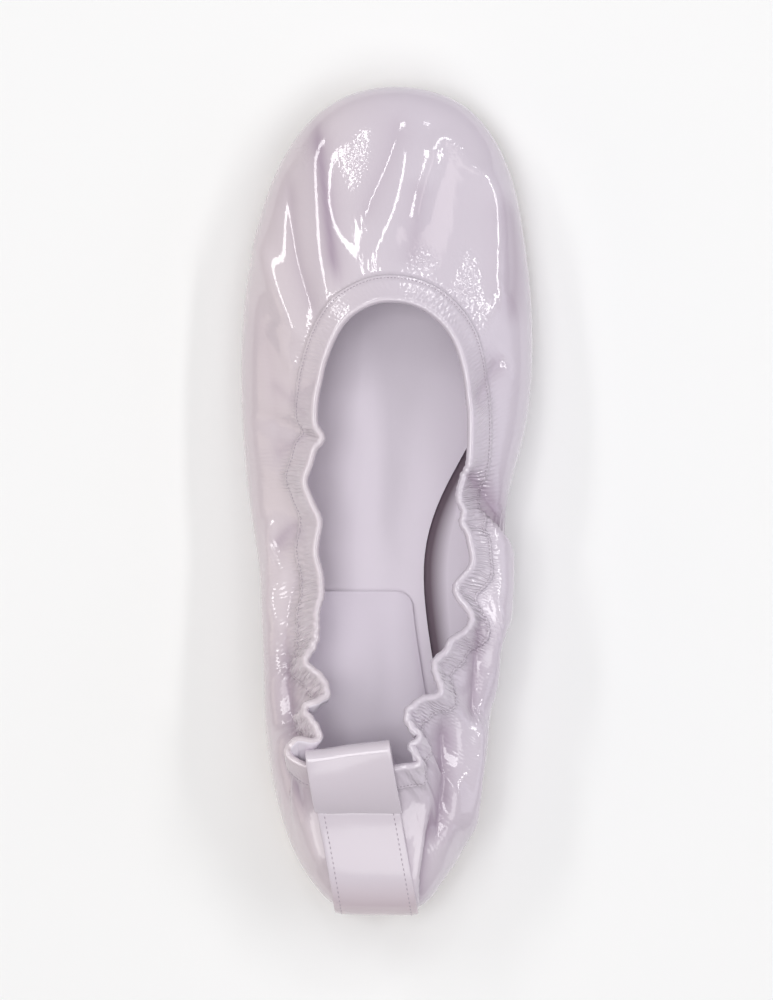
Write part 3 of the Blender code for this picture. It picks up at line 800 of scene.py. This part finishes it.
def crease_field(grid, creases):
    """Height of the listed creases at each point of a grid: round ridges and sharp troughs."""
    points = grid.reshape(-1, 3)
    total = np.zeros(len(points))
    for height, first, last, path in creases:
        reach = CREASE_REACH * max(first, last) * MM
        close, distance, share, side = near_path(points, laid_path(path), reach)
        width = (first + (last - first) * share) * MM
        if height > 0:
            profile = np.exp(-(distance / width) ** 2 / 2)
        else:
            profile = np.exp(-(np.hypot(distance, CREST) - CREST) / width)
        total[close] += height * MM * faded(share, CREASE_FADE) * profile
    return total.reshape(grid.shape[:2])


def pleat_field(grid, shade):
    """Height of the pleats, or with shade the narrow line of painted shadow under each lap."""
    points = grid.reshape(-1, 3)
    total = np.zeros(len(points))
    for height, edge, reach, path in PLEATS:
        close, distance, share, side = near_path(points, laid_path(path), PLEAT_REACH * reach * MM)
        signed = side * distance
        if shade:
            profile = np.exp(-np.abs(signed + edge * MM) / PLEAT_SHADOW) * (signed < 0)
        else:
            profile = (0.5 + 0.5 * np.tanh(signed / (edge * MM))) * bell(distance, reach * MM)
        total[close] += height * MM * faded(share, PLEAT_FADE) * profile
    return total.reshape(grid.shape[:2])


ridges = [crease for crease in CREASES if crease[0] > 0]
troughs = [crease for crease in CREASES if crease[0] < 0]
trough_push = crease_field(outer_base, troughs)
outer_push = crease_field(outer_base, ridges) + trough_push + pleat_field(outer_base, False)
outer_push += gather_field(turns, walked, outer_down)
inner_push = crease_field(inner_base, CREASES) + pleat_field(inner_base, False)
inner_push += gather_field(turns, walked, inner_down)
print("highest fold", in_mm(outer_push.max()), "and deepest trough", in_mm(outer_push.min()))

# %% Roll the collar's edge and close the upper
STITCH_ROW = outer_down.shape[1] - CASING_ROWS + 1
GROOVE_DEPTH = 0.25 * MM
GROOVE_WIDTH = 0.45 * MM
ROLL_ROWS = 7
PATENT_ROLL_ROWS = 5
groove = GROOVE_DEPTH * bell(outer_down - outer_down[:, STITCH_ROW, None], GROOVE_WIDTH)
outer_offset = casing_raise(outer_down) + outer_push - groove
outer_face = outer_base + outer_normal * outer_offset[:, :, None]
inner_face = inner_base + inner_normal * (inner_push - WALL)[:, :, None]
top_normal = outer_normal[:, -1]
rise = unit(outer_base[:, -1] - outer_base[:, -2])
roll_centre = (outer_face[:, -1] + inner_face[:, -1]) / 2
radius = np.linalg.norm(outer_face[:, -1] - inner_face[:, -1], axis=1, keepdims=True) / 2
roll = [roll_centre + radius * (top_normal * math.cos(angle) + rise * math.sin(angle))
        for angle in np.linspace(0, math.pi, ROLL_ROWS + 2)[1:-1]]
skin = np.concatenate([outer_face, np.stack(roll, axis=1), inner_face[:, ::-1]], axis=1)
lining_start = outer_face.shape[1] + PATENT_ROLL_ROWS
upper_piece = laid_grid("patent_upper", skin[::-1], True, [patent, lining], (lining_start,))
print("upper:", len(upper_piece.data.polygons), "faces")

# %% Puckered places and painted warm reflection
# x, y, radius across and radius along in mm, and strength: where the skin is finely puckered
PUCKERS = (
    (11, 71, 4, 3.6, 1), (24.5, 66, 3.6, 8, 1), (17, 61.5, 9, 3, 0.7), (-16, 57, 5, 4.5, 0.6),
    (-8.5, 102, 4.2, 6.5, 0.6), (9, 58.5, 6, 2.6, 0.6), (-25.5, 104, 2.6, 4, 1),
    (19.5, 104, 3.5, 2.6, 0.7), (29, 50, 2.5, 12, 0.5), (-27, 18, 3, 34, 0.4),
)
PUCKER_EVERYWHERE = 0.02
plan = skin[:, :, :2] / MM
pucker_field = np.full(skin.shape[:2], PUCKER_EVERYWHERE)
for x, y, across, along, strength in PUCKERS:
    apart = ((plan[:, :, 0] - x) / across) ** 2 + ((plan[:, :, 1] - y) / along) ** 2
    pucker_field += strength * np.exp(-apart)
# painted warm reflection: the tone is warmer on the outer side, and a little towards the heel
painted_reflection_field = 0.75 * smooth_step(-plan[:, :, 0], -12, 40) + 0.25 * smooth_step(-plan[:, :, 1], 60, 124)
print("pucker from", round(pucker_field.min(), 2), "to", round(pucker_field.max(), 2))

# %% Ribs of the gathered casing
# section, half length in sections, strength: where the elastic draws the casing into fine ribs
RIBS = (
    (2.6, 0.7, 0.4), (4.2, 0.8, 0.6), (5.7, 0.8, 0.7), (6.9, 0.5, 0.6), (8.6, 0.35, 0.8),
    (9.6, 0.5, 0.4), (11.2, 0.8, 0.25), (14.5, 2, 0.1), (18, 1.4, 0.2), (20.4, 0.8, 0.5),
    (22, 0.6, 0.9), (23.2, 0.7, 0.7), (24.6, 0.8, 0.6), (26.2, 0.9, 0.6), (27.6, 0.6, 0.4),
)
RIB_START = 2.2 * MM
RIB_TAIL = 4 * MM
RIB_END = 50 * MM
FAR_BELOW = 60 * MM
RIB_LEAST = 0.12
RIB_SLANT = 0.25
under_skin = np.full(skin.shape[:2], FAR_BELOW)
under_skin[:, :outer_down.shape[1]] = outer_down
under_skin[:, outer_down.shape[1]:lining_start] = RIM
rib_strength = sum(strength * bell(sections_off(turns[:, None], section), half)
                   for section, half, strength in RIBS)
rib_reach = (smooth_step(under_skin, RIM, RIB_START)
             * (1 - smooth_step(under_skin, CASING_WIDTH, CASING_WIDTH + RIB_TAIL)))
rib_field = rib_strength * (RIB_LEAST + (1 - RIB_LEAST) * rib_reach) * (under_skin < RIB_END)
rib_place = (walked[:, None] + RIB_SLANT * under_skin) / MM
print("strongest rib", round(rib_field.max(), 2))

# %% Shade in the folds and at the lining's foot
FULL_SHADE_DEPTH = 2.2 * MM
PLEAT_SHADE_DEPTH = 2.0 * MM
FOOT_SHADE_START = 1.6 * MM
FOOT_SHADE_END = 4.2 * MM
fold_shade = -(trough_push + crease_field(outer_base, SHADES)) / FULL_SHADE_DEPTH
fold_shade += pleat_field(outer_base, True) / PLEAT_SHADE_DEPTH
from_foot = upper_length + lower_length - inner_down[:, ::-1]
shade_field = np.zeros(skin.shape[:2])
shade_field[:, :outer_down.shape[1]] = np.clip(fold_shade, 0, 1)
shade_field[:, -inner_down.shape[1]:] = 1 - smooth_step(from_foot, FOOT_SHADE_START, FOOT_SHADE_END)
for name, values in (("ribs", rib_field), ("ribs_along", rib_place), ("shade", shade_field),
                     ("pucker", pucker_field), ("warm_reflection", painted_reflection_field)):
    store_values(upper_piece, name, values[::-1])
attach(upper_piece, "root")
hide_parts("upper")
print("attributes:", ", ".join(layer.name for layer in upper_piece.data.attributes))

# %% [markdown]
# Stitches
#
# A row of short stitches holds the casing down, one to the millimetre, along a shallow
# groove. At this size a stitch is only a bead of thread, so a small sphere stretched along
# the seam is enough, and all the beads of a seam are joined into one piece.


# %% Beads of thread along a seam
def add_stitches(name, line, normals, pitch, length, thickness, sink):
    """Small stretched spheres at even steps along a line, joined into one piece."""
    walked_line = distances_along(line)
    places = np.arange(pitch / 2, walked_line[-1], pitch)
    middles = points_at(line, walked_line, places)
    forwards = unit(points_at(line, walked_line, places + pitch / 4) - middles)
    above = normals[np.searchsorted(walked_line, places)]
    beads = bmesh.new()
    for at, forward, up in zip(middles, forwards, above):
        side = unit(np.cross(up, forward))
        up = np.cross(forward, side)
        turn = np.eye(4)
        turn[:3, 0] = forward * length / 2
        turn[:3, 1] = side * thickness / 2
        turn[:3, 2] = up * thickness / 2
        turn[:3, 3] = at - up * sink
        bmesh.ops.create_uvsphere(beads, u_segments=6, v_segments=4, radius=1,
                                  matrix=Matrix(turn.tolist()))
    for face in beads.faces:
        face.smooth = True
    made = mesh_object(name, beads, [thread])
    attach(made, "root")
    print(name, "has", len(places), "stitches")


seam = np.concatenate([outer_face[:, STITCH_ROW], outer_face[:1, STITCH_ROW]])
seam_normals = np.concatenate([outer_normal[:, STITCH_ROW], outer_normal[:1, STITCH_ROW]])
add_stitches("collar_stitches", seam, seam_normals, pitch=1.05 * MM, length=0.75 * MM,
             thickness=0.36 * MM, sink=-0.02 * MM)

# %% [markdown]
# The sole
#
# The sole is a thin rubber sheet, three millimetres thick, that follows the last from heel to
# toe. A low block under the heel brings the seat up. From above almost none of it shows.


# %% Rows across the sole
END_SHARE = 0.012
SOLE_ROWS = 120
SOLE_COLUMNS = 14


def sole_outline(turns, inset):
    """Points of the sole's outline in plan, moved inwards by inset."""
    before, at, after = (SECTION_AT(turns + step)[:, 2:4] for step in (-TURN_STEP, 0, TURN_STEP))
    return at + inset * plan_inward(after, before)[:, :2]


def rows_across(outer_edge, inner_edge):
    """Rows of points in plan, from the outer side's edge to the inner side's."""
    shares = np.linspace(0, 1, SOLE_COLUMNS + 1)[None, :, None]
    return outer_edge[:, None] * (1 - shares) + inner_edge[:, None] * shares


def plan_rows(outer_inset, inner_inset, first=END_SHARE, last=1 - END_SHARE, rows=SOLE_ROWS):
    """Rows across the sole from heel to toe, closer together where its ends are round."""
    even = np.linspace(math.acos(1 - 2 * first), math.acos(1 - 2 * last), rows)
    shares = (1 - np.cos(even)) / 2
    outer_edge = sole_outline(shares * TOE_TURN, outer_inset)
    inner_edge = sole_outline(1 - shares * (1 - TOE_TURN), inner_inset)
    return rows_across(outer_edge, inner_edge)


def lay_rows(plan, height):
    """Plan rows at the height that a function gives for each y, turned to columns by rows."""
    return np.concatenate([plan, height(plan[:, :, 1])[:, :, None]], axis=2).transpose(1, 0, 2)


sole_plan = plan_rows(-SOLE_WELT, -SOLE_WELT)
print("sole from", in_mm(sole_plan[0, 0, 1]), "to", in_mm(sole_plan[-1, 0, 1]))

# %% Outsole and heel
sole_grid = lay_rows(sole_plan, lambda y: sole_bottom(y) + OUTSOLE_THICK)
outsole = closed_sheet("rubber_outsole", sole_grid, OUTSOLE_THICK, [rubber], 0.8 * MM)
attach(outsole, "root")
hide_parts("outsole")
seat = sole_plan[sole_plan[:, :, 1].max(axis=1) < HEEL_BREAST]
seat[-1, :, 1] = HEEL_BREAST - 2 * GAP
heel_grid = lay_rows(seat, lambda y: np.full_like(y, HEEL_LIFT - GAP))
heel = closed_sheet("rubber_heel", heel_grid, HEEL_LIFT - GAP, [rubber], 0.7 * MM)
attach(heel, "root")
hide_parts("heel")
print("outsole and heel made")

# %% [markdown]
# Inside the shoe
#
# The insole is a board covered in the same pale skin as the lining, and a soft pad with round
# front corners lies on its heel. Both are matt, so that the inside stays quiet beside the
# shiny upper.

# %% Insole
INSOLE_INNER_MARGIN = 1.7 * MM
COLLAR_SHADE = 0.30
inside_edge = WALL + EDGE_CLEARANCE
insole_grid = lay_rows(plan_rows(inside_edge, inside_edge + INSOLE_INNER_MARGIN), insole_top)
insole = closed_sheet("insole_cover", insole_grid, INSOLE_THICK, [lining], 0.6 * MM)
# the side below the outer collar lies in its shade
under_collar = 1 - smooth_step(insole_grid[:, :, 0], -20 * MM, -7 * MM)
store_values(insole, "shade", COLLAR_SHADE * under_collar)
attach(insole, "root")
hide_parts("insole")
print("insole made of", len(insole.data.polygons), "faces")

# %% Heel pad
PAD_FRONT = -0.0275
PAD_OUTER_MARGIN = 0.0015
PAD_INNER_MARGIN = 0.0055
PAD_CORNER = 0.005
CORNER_STEPS = 12
pad_plan = plan_rows(inside_edge + PAD_OUTER_MARGIN, inside_edge + PAD_INNER_MARGIN,
                     first=0.03, last=0.60, rows=110)
pad = pad_plan[pad_plan[:, :, 1].max(axis=1) < PAD_FRONT - PAD_CORNER]
left = pad[-1, 0]
right = pad[-1, -1]
for angle in np.linspace(0, math.pi / 2, CORNER_STEPS)[1:]:
    y = PAD_FRONT - PAD_CORNER * (1 - math.sin(angle))
    tuck = PAD_CORNER * (1 - math.cos(angle))
    edge = rows_across(np.array([[left[0] + tuck, y]]), np.array([[right[0] - tuck, y]]))
    pad = np.concatenate([pad, edge])
pad_grid = lay_rows(pad, lambda y: insole_top(y) + GAP + PAD_THICK)
heel_pad = closed_sheet("heel_cushion", pad_grid, PAD_THICK, [pad_leather], 0.55 * MM)
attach(heel_pad, "root")
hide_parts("heel_pad")
print("pad reaches", in_mm(pad[-1, 0, 1]))

# %% [markdown]
# Strip and loop
#
# A flat strip covers the seam at the back of the heel, and a loop of the same strap is folded
# over the collar so that the shoe can be pulled on. The strap is stiffer than the upper: it
# bends along its length but stays flat across, and stands a little off the round heel.

# %% Patch on the back of the heel
STRIP_WIDTH = 0.0245
STRIP_THICK = 0.0012
LOOP_WIDTH = 0.0257
LOOP_THICK = 0.0015
LOOP_OUTSIDE = 0.0155
LOOP_INSIDE = 0.012
LOOP_RISE = 0.005
LOOP_SLACK = 0.0012
LOOP_SLANT = 0.0022
STRAP_CLEARANCE = 0.0005
BACK_SPREAD = 0.09
SPREAD_STATIONS = 121
STRAP_COLUMNS = 25
STRIP_FLATNESS = 0.55
LOOP_FLATNESS = 0.5


def back_patch(width, top, foot_shares=None):
    """Points across the back of the heel, centred on its seam, in columns by rows."""
    spread = np.linspace(-BACK_SPREAD, BACK_SPREAD, SPREAD_STATIONS)
    lower_back, upper_back = wall_curves(spread)[1:]
    back = np.concatenate([lower_back, upper_back[:, 1:]], axis=1)
    if foot_shares is None:
        reach = np.tile(top, (len(spread), 1))
    else:
        foot = curve_lengths(back)[:, None] - 2 * FEATHER_ROUND
        reach = top + (foot - top) * foot_shares[None]
    field = along_curves(back, reach)
    field = field + outward(field) * casing_raise(reach)[:, :, None]
    across = np.linspace(-width / 2, width / 2, STRAP_COLUMNS)
    patch = []
    for line in field.transpose(1, 0, 2):
        walked_line = distances_along(line)
        patch.append(points_at(line, walked_line - walked_line[len(spread) // 2], across))
    return np.stack(patch, axis=1)


def flattened(patch, share):
    """Each row drawn towards a straight line across its middle, as a stiff strap lies."""
    middle = patch[len(patch) // 2]
    across = unit(patch[-1] - patch[0])
    along = np.einsum("crk,rk->cr", patch - middle[None], across)
    flat = middle[None] + along[:, :, None] * across[None]
    return patch * (1 - share) + flat * share


strip_patch = back_patch(STRIP_WIDTH, LOOP_OUTSIDE + GAP, np.linspace(1, 0, 60))
strip_patch = flattened(strip_patch, STRIP_FLATNESS) + outward(strip_patch) * STRAP_CLEARANCE
strip = closed_sheet("heel_strap", strip_patch[::-1], STRIP_THICK, [strap], 0.3 * MM, side=1)
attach(strip, "root")
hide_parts("heel_strip")
print("strip is wide", in_mm(STRIP_WIDTH))

# %% Outer leg of the loop
outer_leg = back_patch(LOOP_WIDTH, np.linspace(LOOP_OUTSIDE, 0.0, 30))
outer_leg = flattened(outer_leg, LOOP_FLATNESS)
away = outward(outer_leg)
casing_gap = WALL + CASING_RAISE + STRAP_CLEARANCE + LOOP_SLACK
loop_radius = casing_gap / 2
outside = outer_leg + away * STRAP_CLEARANCE
foot_line = outside[:, :1]
top_line = outside[:, -1:]
shares = np.linspace(0, 1, outside.shape[1])[None, :, None]
bow = 4 * CASING_RAISE * shares * (1 - shares)
outside = foot_line * (1 - shares) + top_line * shares + away.mean(axis=(0, 1)) * bow
slant = np.linspace(LOOP_SLANT, -LOOP_SLANT, STRAP_COLUMNS)[:, None, None]
outside = outside + unit(top_line - foot_line) * shares * slant
print("loop turns at a radius of", in_mm(loop_radius))

# %% Fold the loop over the collar
rise = unit(outside[:, -1] - outside[:, -3])
across = away[:, -1]
centre = outside[:, -1] + rise * (LOOP_RISE - loop_radius) - across * loop_radius
turn_rows = np.stack([centre + loop_radius * (across * math.cos(angle) + rise * math.sin(angle))
                      for angle in np.linspace(0, math.pi, 17)], axis=1)
hang = np.linspace(0, LOOP_INSIDE, 16)[None, 1:, None]
inside = turn_rows[:, -1:] - rise[:, None] * hang
loop_path = np.concatenate([outside, turn_rows, inside], axis=1)
loop = closed_sheet("pull_strap", loop_path[::-1], LOOP_THICK, [strap], 0.35 * MM, side=1)
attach(loop, "root")
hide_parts("pull_loop")
print("loop rises to", in_mm(loop_path[:, :, 2].max()))

# %% Stitch the strip down
strip_top = strip_patch + outward(strip_patch) * STRIP_THICK
for title, column in (("outer", 2), ("inner", STRAP_COLUMNS - 3)):
    line = strip_top[column]
    normals = outward(strip_top)[column]
    add_stitches("strip_stitches_" + title, line, normals, pitch=1.6 * MM, length=1.1 * MM,
                 thickness=0.4 * MM, sink=0.05 * MM)

# %% [markdown]
# Light and camera
#
# The shoe lies on a pale floor in a room that glows a little, more overhead than below. Two
# wide boxes over it give most of the light, and three smaller ones brighten the toe and tint
# its sides, warm on the outer side and cool on the inner. Four narrow strips are much brighter
# than the boxes. They stand far to the sides and before the toe, so only the steep walls of
# the creases mirror them, as thin white streaks, and the calm leather between mirrors the room.

# %% Floor and room
FLOOR_GLOW = 0.09
TOP_GLOW = 0.44
floor_paint = new_material("pale floor paint", "f8f8f8", 0.9)[0]
floor_sheet = bmesh.new()
bmesh.ops.create_grid(floor_sheet, x_segments=1, y_segments=1, size=3.0)
floor = mesh_object("studio_floor", floor_sheet, [floor_paint])

world = bpy.data.worlds.new("pale room")
world.use_nodes = True
tree = world.node_tree
direction = add_node(tree, "TexCoord", {}).outputs["Generated"]
height = add_node(tree, "SeparateXYZ", {0: direction}).outputs["Z"]
glow = add_node(tree, "MapRange", {0: height, 3: FLOOR_GLOW, 4: TOP_GLOW}).outputs[0]
feed(tree, tree.nodes["Background"], {"Color": colour("ffffff"), "Strength": glow})
bpy.context.scene.world = world
print("room glow from", FLOOR_GLOW, "at the floor to", TOP_GLOW, "overhead")


# %% Lamps
def add_lamp(name, place, target, size, glow, code="ffffff"):
    """A rectangular lamp of even glow that faces a point."""
    lamp = bpy.data.lights.new(name, "AREA")
    lamp.shape = "RECTANGLE"
    lamp.size, lamp.size_y = size
    lamp.energy = glow * math.pi * size[0] * size[1]
    lamp.color = colour(code)[:3]
    made = new_object(name, lamp)
    made.location = place
    made.rotation_mode = "QUATERNION"
    back = (Vector(place) - Vector(target)).normalized()
    side = Vector((0, 1, 0)).cross(back).normalized()
    made.rotation_quaternion = Matrix((side, back.cross(side), back)).transposed().to_quaternion()


add_lamp("overhead box", (-0.55, -0.05, 2.6), (0, 0, 0), (1.0, 1.0), 5.1)
add_lamp("heel box", (0.2, -1.05, 2.05), (0, 0, 0), (1.1, 1.0), 2.1)
add_lamp("inner box", (0.46, 0.78, 1.60), (0, 0.04, 0), (0.25, 0.34), 1.4, "fff4f4")
add_lamp("warm side box", (-1.6, -0.35, 0.8), (0, 0, 0.02), (0.7, 1.3), 0.9, "f0e2d4")
add_lamp("cool side box", (1.6, -0.2, 0.9), (0, 0, 0.02), (0.6, 1.5), 0.9, "f2f0ff")
add_lamp("left strip", (-1.10, 0.95, 1.28), (0, 0.06, 0.03), (0.18, 1.1), 8.0)
add_lamp("right strip", (1.07, 0.30, 1.28), (0, 0.06, 0.03), (0.14, 1.3), 9.0)
add_lamp("front strip", (-0.245, 0.79, 1.45), (0, 0.08, 0.03), (0.11, 0.38), 10.0)
add_lamp("toe strip", (0.49, 1.09, 1.34), (0, 0.10, 0.03), (0.50, 0.12), 8.0)

# %% Camera
camera_data = bpy.data.cameras.new("camera")
camera_data.lens = 190
camera_data.sensor_width = 36
camera = new_object("camera", camera_data)
camera.location = (0.0, 0.0, 1.6)
bpy.context.scene.camera = camera
bpy.context.scene.view_settings.view_transform = "Standard"
print("camera", camera.location.z, "m up")
